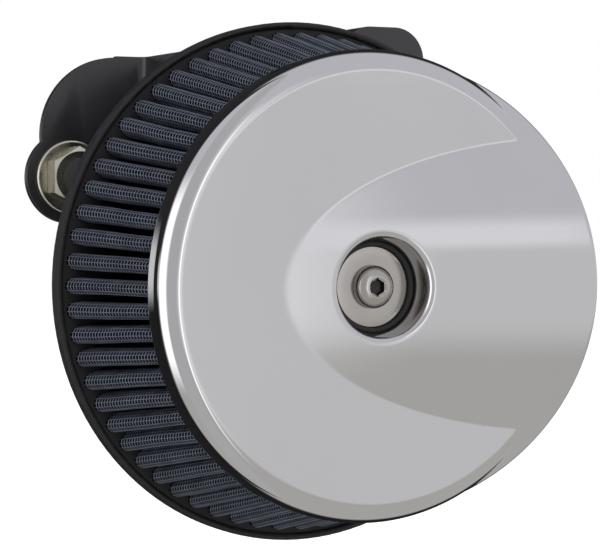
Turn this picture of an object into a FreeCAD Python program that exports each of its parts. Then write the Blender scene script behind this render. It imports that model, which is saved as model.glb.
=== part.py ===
"""Round motorcycle air cleaner with a chromed cover, a pleated filter and head breathers.

Frame: millimetres, +Z up, the cover faces -Y. The origin is the centre of the intake bore on the
plane that meets the throttle body. A station is a distance in front of that plane (station = -y).
"""
import FreeCAD, Part
import math
import os

import Sketcher

Vector = FreeCAD.Vector
Rotation = FreeCAD.Rotation
Placement = FreeCAD.Placement

DIMENSIONS = {
    # Intake interface and backplate
    "gasket_thickness": 1.2,
    "intake_bore_radius": 26.0,
    "bell_mouth_radius": 30.0,
    "bell_mouth_depth": 4.0,
    "body_screw_circle_radius": 37.0,
    "gasket_margin": 7.0,
    "plate_thickness": 11.8,
    "plate_radius": 84.0,
    "plate_edge_round": 3.0,
    "spigot_radius": 57.0,
    "spigot_height": 3.0,
    "spigot_wall": 4.0,
    "ear_x": 40.0,
    "ear_z": 77.6,
    "ear_radius": 11.4,
    "ear_length": 10.0,
    # Filter element
    "flange_radius": 89.0,
    "base_thickness": 4.0,
    "base_lip_height": 1.5,
    "base_lip_width": 2.4,
    "base_edge_round": 1.0,
    "pleat_count": 64,
    "pleat_tip_radius_rear": 85.5,
    "pleat_tip_radius_front": 73.0,
    "pleat_depth": 22.0,
    "pleat_tip_round": 2.5,
    "pleat_valley_round": 0.6,
    "media_thickness": 1.2,
    "media_length": 50.0,
    "top_ring_thickness": 7.4,
    "top_ring_wall": 2.5,
    "end_plate_thickness": 1.6,
    "end_plate_seat": 8.0,
    "dish_floor_radius": 20.5,
    "dish_mouth_radius": 25.0,
    # Cover
    "cover_radius": 76.5,
    "cover_wall": 1.6,
    "cover_height": 11.5,
    "cover_edge_round": 7.0,
    "shield_rise": 4.7,
    "shield_length": 110.0,
    "shield_half_width": 48.5,
    "shield_apex_x": 75.5,
    "wing_radius": 74.3,
    "wing_offset": 6.2,
    "wing_rim_round": 1.8,
    "well_radius": 14.9,
    "well_depth": 8.4,
    "well_straight": 4.0,
    "well_flare": 1.3,
    "well_floor_thickness": 2.5,
    "well_rim_round": 2.0,
    # Cover fastening
    "cover_washer_radius": 13.2,
    "cover_washer_thickness": 2.0,
    "cover_seal_height": 3.3,
    "cover_screw_radius": 3.9,
    "cover_screw_length": 25.0,
    "cover_screw_head_radius": 7.0,
    "cover_screw_head_height": 4.2,
    "cover_screw_socket": 4.8,
    # Centre post and its nut
    "post_radius": 9.0,
    "post_nose_radius": 6.3,
    "post_spigot_radius": 5.0,
    "filter_nut_flats": 22.0,
    "filter_nut_thickness": 6.0,
    "filter_washer_radius": 14.0,
    "filter_washer_thickness": 2.0,
    "grommet_radius": 15.0,
    "grommet_thickness": 2.0,
    # Spider and its screws
    "spider_thickness": 5.0,
    "spider_hub_radius": 12.0,
    "spider_leg_width": 10.0,
    "spider_foot_radius": 7.0,
    "body_screw_radius": 3.1,
    "body_screw_grip_radius": 2.6,
    "body_screw_reach": 12.0,
    "body_screw_head_radius": 4.8,
    "body_screw_head_height": 6.3,
    "body_screw_socket": 4.8,
    # Support bracket
    "sheet_thickness": 3.0,
    "bend_radius": 3.0,
    "bracket_depth": 46.0,
    "bracket_half_width": 31.0,
    "bracket_top": 80.0,
    "bracket_bottom": 48.0,
    "web_bottom": 38.0,
    "tab_shoulder_x": 42.0,
    "tab_shoulder_z": 51.0,
    "tab_shoulder_radius": 28.5,
    "tab_lobe_radius": 16.5,
    "bracket_screw_radius": 3.0,
    "bracket_screw_length": 10.0,
    "bracket_screw_head_radius": 5.2,
    "bracket_screw_head_height": 3.3,
    "bracket_screw_socket": 4.0,
    "bracket_screw_spread": 17.0,
    "bracket_screw_low": 56.0,
    "bracket_screw_high": 71.0,
    # Head breathers
    "breather_x": 59.6,
    "breather_z": 36.3,
    "breather_shank_radius": 6.35,
    "breather_grip_radius": 5.5,
    "breather_shank_reach": 18.0,
    "breather_hex_flats": 19.0,
    "breather_hex_height": 8.0,
    "breather_bore_radius": 3.0,
    "barb_radius": 4.2,
    "barb_length": 14.0,
    "hose_wall": 2.5,
    "breather_washer_radius": 13.2,
    "breather_washer_thickness": 2.0,
    "breather_seal_radius": 11.0,
    "breather_seal_thickness": 1.5,
    "nipple_insert": 3.0,
    "nipple_collar_radius": 5.5,
    "nipple_collar_height": 2.0,
    # Fits
    "slip_clearance": 0.3,
    "press_clearance": 0.05,
}

doc = FreeCAD.newDocument("AirCleaner")
sheet = doc.addObject("Spreadsheet::Sheet", "Sizes")
for row, (alias, number) in enumerate(DIMENSIONS.items(), start=1):
    sheet.set(f"A{row}", alias)
    sheet.set(f"B{row}", str(number))
    sheet.setAlias(f"B{row}", alias)
doc.recompute()


class Size:
    """A length that keeps both its number and the sheet expression that drives it."""

    def __init__(self, number, text):
        self.number = number
        self.text = text

    def combine(self, other, sign, number):
        """Return the size made of this one and another, joined by an arithmetic sign."""
        return Size(number, f"({self.text} {sign} {as_size(other).text})")

    def __add__(self, other):
        return self.combine(other, "+", self.number + as_size(other).number)

    def __sub__(self, other):
        return self.combine(other, "-", self.number - as_size(other).number)

    def __mul__(self, other):
        return self.combine(other, "*", self.number * as_size(other).number)

    def __truediv__(self, other):
        return self.combine(other, "/", self.number / as_size(other).number)

    def __neg__(self):
        return Size(-self.number, f"(-1 * {self.text})")


def as_size(value):
    """Return a value as a Size, whether it is one already or a plain number."""
    return value if isinstance(value, Size) else Size(float(value), f"({float(value)})")


class Cells:
    """Named sizes read from the sheet."""

    def __getattr__(self, alias):
        return Size(float(sheet.get(alias)), f"Sizes.{alias}")


dim = Cells()
FACE_FORWARD = Rotation(Vector(0, 0, 1), 180)
AXIS_FORWARD = Rotation(Vector(1, 0, 0), 90)
SIDES = {"left": -1, "right": 1}
CENTRE_LEFT, CENTRE_RIGHT = 1, -1
HEX_CORNER_PER_FLAT = 1 / math.sqrt(3)
CROWN_SHARE = 0.62
HEAD_SIDE_SHARE = 0.2
DOME_SHARE = 1.2
SOCKET_SHARE = 0.6
COVER_REAR_STEPS = 5
TIP_FACETS = 6
VALLEY_FACETS = 2
subparts = []


def bind(item, **sizes):
    """Drive properties of a document object by sizes."""
    for name, size in sizes.items():
        setattr(item, name, as_size(size).number)
        item.setExpression(name, as_size(size).text)


def place(item, x, station, z, rotation):
    """Put an object at x, z and a station, each driven by its size."""
    sizes = (as_size(x), -as_size(station), as_size(z))
    item.Placement = Placement(Vector(*[size.number for size in sizes]), rotation)
    for name, size in zip("xyz", sizes):
        item.setExpression(f"Placement.Base.{name}", size.text)
    return item


def keep(item, label):
    """Name an object as a sub-part of the air cleaner."""
    item.Label = label
    subparts.append(item)
    return item


def arc_between(start, end, radius, side):
    """Return the minor arc from start to end, with its centre on the left or right of the way."""
    chord = end - start
    normal = Vector(-chord.y, chord.x, 0).normalize() * side
    rise = math.sqrt(max(radius ** 2 - (chord.Length / 2) ** 2, 0.0))
    centre = (start + end) * 0.5 + normal * rise
    return Part.Arc(start, centre - normal * radius, end)


def profile_sketch(body, role, profile):
    """Draw a closed profile on an origin plane, with every corner driven by its sizes.

    A corner is (across, up), or (across, up, radius, side) where an arc leads to the next corner.
    """
    sketch = body.newObject("Sketcher::SketchObject", body.Name + "_profile")
    plane = [feature for feature in body.Origin.OriginFeatures if feature.Role == role][0]
    sketch.AttachmentSupport = (plane, [""])
    sketch.MapMode = "FlatFace"
    corners = [tuple(as_size(size) for size in corner[:2]) for corner in profile]
    points = [Vector(across.number, up.number, 0) for across, up in corners]
    following = points[1:] + points[:1]
    for corner, start, end in zip(profile, points, following):
        if len(corner) > 2:
            sketch.addGeometry(arc_between(start, end, corner[2].number, corner[3]))
        else:
            sketch.addGeometry(Part.LineSegment(start, end))
    ends = []
    for index, start in enumerate(points):
        near_first = (sketch.getPoint(index, 1) - start).Length
        near_second = (sketch.getPoint(index, 2) - start).Length
        ends.append((1, 2) if near_first < near_second else (2, 1))
    for index in range(len(points)):
        after = (index + 1) % len(points)
        sketch.addConstraint(
            Sketcher.Constraint("Coincident", index, ends[index][1], after, ends[after][0]))
    for index, corner in enumerate(corners):
        for kind, size in zip(("DistanceX", "DistanceY"), corner):
            made = sketch.addConstraint(
                Sketcher.Constraint(kind, -1, 1, index, ends[index][0], size.number))
            sketch.setExpression(f"Constraints[{made}]", size.text)
    for index, corner in enumerate(profile):
        if len(corner) > 2:
            made = sketch.addConstraint(Sketcher.Constraint("Radius", index, corner[2].number))
            sketch.setExpression(f"Constraints[{made}]", corner[2].text)
    return sketch


def revolve(name, profile, x=0.0, station=0.0, z=0.0, rotation=FACE_FORWARD):
    """Revolve a profile of (radius, station) corners round a line along the main axis."""
    body = doc.addObject("PartDesign::Body", name)
    sketch = profile_sketch(body, "XY_Plane", profile)
    turned = body.newObject("PartDesign::Revolution", name + "_turned")
    turned.Profile = sketch
    turned.ReferenceAxis = (sketch, ["V_Axis"])
    turned.Angle = 360
    doc.recompute()
    return place(body, x, station, z, rotation)


def ring(name, inner, outer, rear, thickness, x=0.0, z=0.0):
    """Make a flat ring whose rear face is at a station."""
    profile = [(inner, 0.0), (outer, 0.0), (outer, thickness), (inner, thickness)]
    return revolve(name, profile, x, rear, z)


def cylinder(name, radius, rear, length, x=0.0, z=0.0):
    """Make a plain cylinder that runs forward from a station."""
    item = doc.addObject("Part::Cylinder", name)
    bind(item, Radius=radius, Height=length)
    return place(item, x, rear, z, AXIS_FORWARD)


def hexagon(name, flats, rear, length, x=0.0, z=0.0):
    """Make a hexagonal prism that runs forward from a station."""
    item = doc.addObject("Part::Prism", name)
    item.Polygon = 6
    bind(item, Circumradius=as_size(flats) * HEX_CORNER_PER_FLAT, Height=length)
    return place(item, x, rear, z, AXIS_FORWARD)


def block(name, low, high):
    """Make a box between two corners given as (x, y, z) sizes."""
    item = doc.addObject("Part::Box", name)
    low = [as_size(size) for size in low]
    high = [as_size(size) for size in high]
    bind(item, Length=high[0] - low[0], Width=high[1] - low[1], Height=high[2] - low[2])
    return place(item, low[0], -low[1], low[2], Rotation())


def fuse(name, items, refine=False):
    """Join solids into one, and merge faces that continue each other if asked."""
    item = doc.addObject("Part::MultiFuse", name)
    item.Shapes = items
    item.Refine = refine
    doc.recompute()
    return item


def cut(name, base, tools):
    """Take tools away from a base."""
    item = doc.addObject("Part::Cut", name)
    item.Base = base
    item.Tool = tools[0] if len(tools) == 1 else fuse(name + "_tools", tools)
    item.Refine = False
    doc.recompute()
    return item


def common(name, items):
    """Keep what solids share."""
    item = doc.addObject("Part::MultiCommon", name)
    item.Shapes = items
    item.Refine = False
    doc.recompute()
    return item


def formed(name, shape):
    """Keep a shape made by a formula as an object of the document."""
    item = doc.addObject("Part::Feature", name)
    item.Shape = shape
    return item


def group(label, pattern, placements):
    """Make one sub-part of separate copies of a solid."""
    copies = []
    for placement in placements:
        copy = pattern.Shape.copy()
        copy.Placement = placement.multiply(copy.Placement)
        copies.append(copy)
    return keep(formed(label, Part.makeCompound(copies)), label)


def turned_about_axis(angle):
    """Return the placement that turns a piece about the main axis."""
    return Placement(Vector(), Rotation(Vector(0, 1, 0), angle))


def root_of_squares(first, second):
    """Return the length of the diagonal of two sizes."""
    number = math.hypot(first.number, second.number)
    return Size(number, f"sqrt({first.text} ^ 2 + {second.text} ^ 2)")


def socket_screw(name, radius, length, head_radius, head_height, socket, domed, grip=None):
    """Make a screw with a hexagon socket; its tip is at its own station zero.

    A grip is the (radius, length) of a waisted stretch under the head.
    """
    top = length + head_height
    if domed:
        crown = head_radius * CROWN_SHARE
        side = length + head_height * HEAD_SIDE_SHARE
        dome = head_radius * DOME_SHARE
        head = [(crown, top, dome, CENTRE_RIGHT), (head_radius, side), (head_radius, length)]
    else:
        head = [(head_radius, top), (head_radius, length)]
    shank = [(radius, length), (radius, 0.0)]
    if grip:
        thread = length - grip[1]
        shank = [(grip[0], length), (grip[0], thread), (radius, thread), (radius, 0.0)]
    profile = [(0.0, 0.0), (0.0, top)] + head + shank
    turned = revolve(name + "_turned", profile)
    socket_depth = head_height * SOCKET_SHARE
    recess = hexagon(name + "_socket", socket, top - socket_depth, socket_depth)
    return cut(name, turned, [recess])


# Stations of the stack, from the throttle body to the front of the cover

plate_rear = dim.gasket_thickness
plate_front = plate_rear + dim.plate_thickness
media_rear = plate_front + dim.base_thickness
media_front = media_rear + dim.media_length
ring_front = media_front + dim.top_ring_thickness
cover_face = ring_front + dim.cover_wall
cover_lip = cover_face - dim.cover_height
well_floor = cover_face - dim.well_depth
well_rear = well_floor - dim.well_floor_thickness
washer_front = well_floor + dim.cover_washer_thickness
nut_rear = well_rear - dim.filter_nut_thickness
dish_front = nut_rear - dim.filter_washer_thickness
dish_rear = dish_front - dim.end_plate_thickness
post_shoulder = dish_rear - dim.grommet_thickness
spider_front = plate_front + dim.spider_thickness
tab_front = -dim.bracket_depth
tab_rear = tab_front - dim.sheet_thickness
hex_rear = tab_front + dim.breather_washer_thickness
hex_front = hex_rear + dim.breather_hex_height
collar_rear = plate_rear - dim.nipple_collar_height

BODY_SCREW_ANGLES = (0, 120, 240)
body_screw_hole = dim.body_screw_radius + dim.slip_clearance
nose_hole = dim.post_nose_radius + dim.slip_clearance
bracket_screw_places = (
    (-dim.bracket_screw_spread, dim.bracket_screw_low),
    (dim.bracket_screw_spread, dim.bracket_screw_low),
    (as_size(0.0), dim.bracket_screw_high),
)


def body_screw_holes(name, rear, length):
    """Make the three tools that drill the throttle body screw holes."""
    tools = []
    for number, angle in enumerate(BODY_SCREW_ANGLES):
        turn = math.radians(angle)
        x = dim.body_screw_circle_radius * math.sin(turn)
        z = dim.body_screw_circle_radius * math.cos(turn)
        tools.append(cylinder(f"{name}_{number}", body_screw_hole, rear, length, x, z))
    return tools


def throttle_body_gasket():
    """Flat gasket between the backplate and the throttle body."""
    outer = dim.body_screw_circle_radius + dim.gasket_margin
    sheet_ring = ring("gasket_sheet", dim.intake_bore_radius, outer, 0.0, dim.gasket_thickness)
    holes = body_screw_holes("gasket_hole", as_size(0.0), dim.gasket_thickness)
    keep(cut("gasket", sheet_ring, holes), "throttle_body_gasket")


def backplate():
    """Cast plate with the bell mouth, a filter spigot, an ear and drilled breather galleries."""
    spigot_front = plate_front + dim.spigot_height
    spigot_inner = dim.spigot_radius - dim.spigot_wall
    disc = revolve("plate_disc", [
        (dim.intake_bore_radius, plate_rear),
        (dim.plate_radius - dim.plate_edge_round, plate_rear, dim.plate_edge_round, CENTRE_LEFT),
        (dim.plate_radius, plate_rear + dim.plate_edge_round),
        (dim.plate_radius, plate_front),
        (dim.spigot_radius, plate_front),
        (dim.spigot_radius, spigot_front),
        (spigot_inner, spigot_front),
        (spigot_inner, plate_front),
        (dim.bell_mouth_radius, plate_front),
        (dim.intake_bore_radius, plate_front - dim.bell_mouth_depth),
    ])
    ear_inner_x = dim.ear_x - dim.ear_length
    ear = [
        cylinder("ear_end", dim.ear_radius, plate_rear, dim.plate_thickness, dim.ear_x, dim.ear_z),
        cylinder("ear_root", dim.ear_radius, plate_rear, dim.plate_thickness, ear_inner_x, dim.ear_z),
        block("ear_web", (ear_inner_x, -plate_front, dim.ear_z - dim.ear_radius),
              (dim.ear_x, -plate_rear, dim.ear_z + dim.ear_radius)),
    ]
    tools = body_screw_holes("plate_hole", plate_rear, dim.plate_thickness)
    thread = dim.bracket_screw_radius + dim.press_clearance
    thread_depth = dim.bracket_screw_length - dim.sheet_thickness + dim.slip_clearance
    for number, (x, z) in enumerate(bracket_screw_places):
        tools.append(cylinder(f"plate_thread_{number}", thread, plate_rear, thread_depth, x, z))
    gallery_station = plate_rear + dim.nipple_insert + dim.breather_bore_radius
    gallery_length = root_of_squares(dim.breather_x, dim.breather_z)
    for side, sign in SIDES.items():
        hole_depth = dim.nipple_insert + dim.breather_bore_radius * 2 + dim.slip_clearance
        tools.append(cylinder(f"plate_port_{side}", dim.barb_radius + dim.press_clearance, plate_rear,
                              hole_depth, dim.breather_x * sign, dim.breather_z))
        gallery = doc.addObject("Part::Cylinder", f"plate_gallery_{side}")
        bind(gallery, Radius=dim.breather_bore_radius, Height=gallery_length)
        way = Vector(dim.breather_x.number * sign, 0, dim.breather_z.number)
        place(gallery, 0.0, gallery_station, 0.0, Rotation(Vector(0, 0, 1), way))
        tools.append(gallery)
    keep(cut("plate", fuse("plate_cast", [disc] + ear, refine=True), tools), "backplate")


def filter_base():
    """Moulded ring that seals on the backplate and holds the rear ends of the pleats."""
    inner = dim.spigot_radius + dim.slip_clearance
    lip_inner = dim.flange_radius - dim.base_lip_width
    lip_round = dim.base_lip_width / 2
    lip_shoulder = media_rear + dim.base_lip_height - lip_round
    keep(revolve("base_ring", [
        (inner, plate_front),
        (dim.flange_radius - dim.base_edge_round, plate_front, dim.base_edge_round, CENTRE_LEFT),
        (dim.flange_radius, plate_front + dim.base_edge_round),
        (dim.flange_radius, lip_shoulder, lip_round, CENTRE_LEFT),
        (dim.flange_radius - lip_round, lip_shoulder + lip_round, lip_round, CENTRE_LEFT),
        (lip_inner, lip_shoulder),
        (lip_inner, media_rear),
        (inner, media_rear),
    ]), "filter_base")


def pleat_outline(tip_radius, tip_round, valley_radius, valley_round, station):
    """Return the corners of the closed star outline of one face of the pleats at a station."""
    count = int(dim.pleat_count.number)
    half = math.pi / count
    tip = Vector(tip_radius - tip_round, 0, 0)
    valley_centre = valley_radius + valley_round
    valley = Vector(valley_centre * math.cos(half), 0, valley_centre * math.sin(half))
    between = valley - tip
    lean = math.asin((tip_round + valley_round) / between.Length)
    facing = math.atan2(between.z, between.x) + lean - math.pi / 2
    fold = []
    for step in range(TIP_FACETS + 1):
        angle = facing * (2 * step / TIP_FACETS - 1)
        fold.append(tip + Vector(math.cos(angle), 0, math.sin(angle)) * tip_round)
    for step in range(VALLEY_FACETS + 1):
        angle = facing + (half - facing) * 2 * step / VALLEY_FACETS
        fold.append(valley - Vector(math.cos(angle), 0, math.sin(angle)) * valley_round)
    corners = []
    for index in range(count):
        turn = Rotation(Vector(0, 1, 0), -360.0 * index / count)
        for point in fold:
            moved = turn.multVec(point)
            corners.append(Vector(moved.x, -station, moved.z))
    return corners


def filter_media():
    """Pleated wall whose folds taper towards the front, as one folded sheet."""
    taper = dim.pleat_tip_radius_front.number / dim.pleat_tip_radius_rear.number
    thickness = dim.media_thickness.number
    tip = dim.pleat_tip_radius_rear.number
    tip_round = dim.pleat_tip_round.number
    valley = tip - dim.pleat_depth.number
    valley_round = dim.pleat_valley_round.number
    sheet_faces = (
        (tip, tip_round, valley + thickness, valley_round),
        (tip - thickness, tip_round - thickness, valley, valley_round + thickness),
    )
    faces = []
    rear_wires, front_wires = [], []
    for outline in sheet_faces:
        rear = pleat_outline(*outline, media_rear.number)
        front = pleat_outline(*[length * taper for length in outline], media_front.number)
        for index in range(len(rear)):
            before = index - 1
            corners = [rear[before], rear[index], front[index], front[before], rear[before]]
            faces.append(Part.Face(Part.makePolygon(corners)))
        rear_wires.append(Part.makePolygon(rear + rear[:1]))
        front_wires.append(Part.makePolygon(front + front[:1]))
    for wires in (rear_wires, front_wires):
        faces.append(Part.makeFace(wires, "Part::FaceMakerBullseye"))
    sewn = Part.makeShell(faces)
    sewn.sewShape()
    keep(formed("pleats", Part.makeSolid(sewn)), "filter_media")


media_inner_front = (dim.pleat_tip_radius_rear - dim.pleat_depth) \
    * (dim.pleat_tip_radius_front / dim.pleat_tip_radius_rear)
top_ring_inner = media_inner_front - dim.top_ring_wall
end_plate_rebate = top_ring_inner + dim.end_plate_seat


def filter_top_ring():
    """Moulded ring that holds the front ends of the pleats inside the cover."""
    outer = dim.cover_radius - dim.cover_wall - dim.slip_clearance
    round_off = dim.cover_edge_round - dim.cover_wall + dim.slip_clearance
    rebate_floor = ring_front - dim.end_plate_thickness
    keep(revolve("top_ring", [
        (top_ring_inner, media_front),
        (outer, media_front),
        (outer, ring_front - round_off, round_off, CENTRE_LEFT),
        (outer - round_off, ring_front),
        (end_plate_rebate, ring_front),
        (end_plate_rebate, rebate_floor),
        (top_ring_inner, rebate_floor),
    ]), "filter_top_ring")


def filter_end_plate():
    """Pressed dish that closes the front of the filter and is clamped on the post."""
    thickness = dim.end_plate_thickness
    outer = end_plate_rebate - dim.slip_clearance
    keep(revolve("end_plate", [
        (nose_hole, dish_rear),
        (dim.dish_floor_radius, dish_rear),
        (dim.dish_mouth_radius, ring_front - thickness),
        (outer, ring_front - thickness),
        (outer, ring_front),
        (dim.dish_mouth_radius - thickness, ring_front),
        (dim.dish_floor_radius - thickness, dish_front),
        (nose_hole, dish_front),
    ]), "filter_end_plate")


def post_stack():
    """Grommet, washer and nut that hold the filter on the centre post, and the post."""
    keep(ring("grommet", nose_hole, dim.grommet_radius, post_shoulder, dim.grommet_thickness),
         "filter_grommet")
    keep(ring("nut_washer", nose_hole, dim.filter_washer_radius, dish_front,
              dim.filter_washer_thickness), "filter_nut_washer")
    nut = hexagon("nut_hexagon", dim.filter_nut_flats, nut_rear, dim.filter_nut_thickness)
    thread = cylinder("nut_thread", dim.post_nose_radius + dim.press_clearance, nut_rear,
                      dim.filter_nut_thickness)
    keep(cut("nut", nut, [thread]), "filter_nut")
    nose_end = well_rear - dim.slip_clearance
    tapped = dim.cover_screw_radius + dim.press_clearance
    tapped_end = washer_front - dim.cover_screw_length - dim.slip_clearance
    keep(revolve("post", [
        (0.0, plate_front),
        (dim.post_spigot_radius, plate_front),
        (dim.post_spigot_radius, spider_front),
        (dim.post_radius, spider_front),
        (dim.post_radius, post_shoulder),
        (dim.post_nose_radius, post_shoulder),
        (dim.post_nose_radius, nose_end),
        (tapped, nose_end),
        (tapped, tapped_end),
        (0.0, tapped_end),
    ]), "center_post")


def post_spider():
    """Three-legged bridge over the bell mouth that carries the post."""
    pieces = [cylinder("spider_hub", dim.spider_hub_radius, plate_front, dim.spider_thickness)]
    for number, angle in enumerate(BODY_SCREW_ANGLES):
        turn = math.radians(angle)
        x = dim.body_screw_circle_radius * math.sin(turn)
        z = dim.body_screw_circle_radius * math.cos(turn)
        pieces.append(cylinder(f"spider_foot_{number}", dim.spider_foot_radius, plate_front,
                               dim.spider_thickness, x, z))
        leg = doc.addObject("Part::Box", f"spider_leg_{number}")
        bind(leg, Length=dim.spider_leg_width, Width=dim.spider_thickness,
             Height=dim.body_screw_circle_radius)
        swing = Rotation(Vector(0, 1, 0), angle)
        side = swing.multVec(Vector(1, 0, 0))
        place(leg, dim.spider_leg_width * (-side.x / 2), spider_front,
              dim.spider_leg_width * (-side.z / 2), swing)
        pieces.append(leg)
    tools = body_screw_holes("spider_hole", plate_front, dim.spider_thickness)
    tools.append(cylinder("spider_socket", dim.post_spigot_radius + dim.press_clearance, plate_front,
                          dim.spider_thickness))
    keep(cut("spider", fuse("spider_cast", pieces, refine=True), tools), "post_spider")


def throttle_body_screws():
    """Three cap screws through the spider, backplate and gasket."""
    shank = spider_front + dim.body_screw_reach
    screw = socket_screw("body_screw", dim.body_screw_radius, shank, dim.body_screw_head_radius,
                         dim.body_screw_head_height, dim.body_screw_socket, domed=False,
                         grip=(dim.body_screw_grip_radius, spider_front))
    seat = Vector(0, dim.body_screw_reach.number, dim.body_screw_circle_radius.number)
    placements = [turned_about_axis(angle).multiply(Placement(seat, Rotation()))
                  for angle in BODY_SCREW_ANGLES]
    group("throttle_body_screws", screw, placements)


def shield_solid(name, inset, rear):
    """Return the raised shield as a paraboloid-topped solid from a station, moved in by a wall."""
    depth = cover_face + dim.shield_rise - rear
    outline = cylinder(name + "_outline", dim.wing_radius - inset, rear, depth, dim.wing_offset)
    face = cover_face.number - as_size(inset).number
    apex, length = dim.shield_apex_x.number, dim.shield_length.number
    half_width, rise = dim.shield_half_width.number, dim.shield_rise.number
    reach = dim.wing_radius.number + dim.cover_edge_round.number
    x_ends = (dim.wing_offset.number - reach, dim.wing_offset.number + reach)
    z_ends = (-reach, reach)

    def quadratic_poles(ends, centre, scale):
        """Return the three control values of 1 - ((u - centre) / scale) ** 2 over a span."""
        first, last = [((end - centre) / scale) ** 2 for end in ends]
        slope = 2 * (ends[0] - centre) / scale ** 2
        return [-first, -first - slope * (ends[1] - ends[0]) / 2, -last]

    x_poles = [x_ends[0], sum(x_ends) / 2, x_ends[1]]
    z_poles = [z_ends[0], sum(z_ends) / 2, z_ends[1]]
    x_drop = quadratic_poles(x_ends, apex, length)
    z_drop = quadratic_poles(z_ends, 0.0, half_width)
    poles = [[Vector(x, -(face + rise * (1 + drop_x + drop_z)), z) for z, drop_z in zip(z_poles, z_drop)]
             for x, drop_x in zip(x_poles, x_drop)]
    surface = Part.BSplineSurface()
    surface.buildFromPolesMultsKnots(poles, [3, 3], [3, 3], [0, 1], [0, 1], False, False, 2, 2)
    domed = surface.toShape().extrude(Vector(0, depth.number * 2, 0))
    return common(name, [outline, formed(name + "_domed", domed)])


def rounded_rim(name, base, radius, rear):
    """Round the front rim of a solid, leaving the edges on its rear plane."""
    edges = []
    for number, edge in enumerate(base.Shape.Edges, start=1):
        rear_most = edge.BoundBox.YMax
        if rear_most < -rear.number - 1e-3 and edge.BoundBox.XLength > radius.number:
            edges.append((number, radius.number, radius.number))
    item = doc.addObject("Part::Fillet", name)
    item.Base = base
    item.Edges = edges
    doc.recompute()
    return item


def pan(name, inset, rear):
    """Return the round pan of the cover as a solid from a station, moved in by a wall."""
    radius = dim.cover_radius - inset
    face = cover_face - inset
    round_off = dim.cover_edge_round - inset
    return revolve(name, [
        (0.0, rear),
        (radius, rear),
        (radius, face - round_off, round_off, CENTRE_LEFT),
        (radius - round_off, face),
        (0.0, face),
    ])


def cover():
    """Chromed pan with the raised shield, hollow behind, and a stepped well for its screw."""
    wall = dim.cover_wall
    rears = [cover_lip - wall * (step + 1) for step in range(COVER_REAR_STEPS)]
    sharp_wing = shield_solid("wing_sharp", 0.0, rears[1])
    wing = rounded_rim("wing", sharp_wing, dim.wing_rim_round, rears[1])
    outside = fuse("cover_outside", [pan("pan_outside", 0.0, rears[0]), wing])
    inside = fuse("cover_inside", [
        pan("pan_inside", wall, rears[2]),
        shield_solid("wing_inside", wall, rears[3]),
    ])
    trim = cylinder("lip_trim", dim.wing_radius + dim.wing_offset + wall, rears[4], cover_lip - rears[4])
    above = cover_face + dim.shield_rise
    throat = well_floor + dim.well_straight
    apex_share = dim.shield_apex_x / dim.shield_length
    mouth = cover_face + dim.shield_rise - dim.shield_rise * apex_share * apex_share
    neck = dim.well_radius + dim.well_flare
    rim = neck + dim.well_rim_round
    cup = revolve("well_cup", [
        (0.0, well_rear),
        (dim.well_radius + wall, well_rear),
        (dim.well_radius + wall, throat),
        (rim + wall, mouth),
        (rim + wall, above),
        (0.0, above),
    ])
    hollow = revolve("well_hollow", [
        (0.0, well_floor),
        (dim.well_radius, well_floor),
        (dim.well_radius, throat),
        (neck, mouth - dim.well_rim_round, dim.well_rim_round, CENTRE_RIGHT),
        (rim, mouth),
        (rim, above),
        (0.0, above),
    ])
    hole = cylinder("cover_screw_hole", dim.cover_screw_radius + dim.slip_clearance, well_rear,
                    dim.well_floor_thickness)
    skin = cut("cover_skin", outside, [inside, trim])
    cup_in_skin = common("well_in_cover", [cup, outside])
    keep(cut("cover_shell", fuse("cover_with_cup", [skin, cup_in_skin]), [hollow, hole]), "cover")


def cover_fastening():
    """Washer, rubber ring and screw in the well of the cover."""
    hole = dim.cover_screw_radius + dim.slip_clearance
    keep(ring("polished_washer", hole, dim.cover_washer_radius, well_floor,
              dim.cover_washer_thickness), "cover_washer")
    seal_inner = dim.cover_washer_radius + dim.press_clearance
    seal_outer = dim.well_radius - dim.press_clearance
    keep(ring("rubber_ring", seal_inner, seal_outer, well_floor, dim.cover_seal_height), "cover_seal")
    screw = socket_screw("button_screw", dim.cover_screw_radius, dim.cover_screw_length,
                         dim.cover_screw_head_radius, dim.cover_screw_head_height,
                         dim.cover_screw_socket, domed=True)
    place(screw, 0.0, washer_front - dim.cover_screw_length, 0.0, Rotation())
    keep(screw, "cover_screw")


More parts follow.
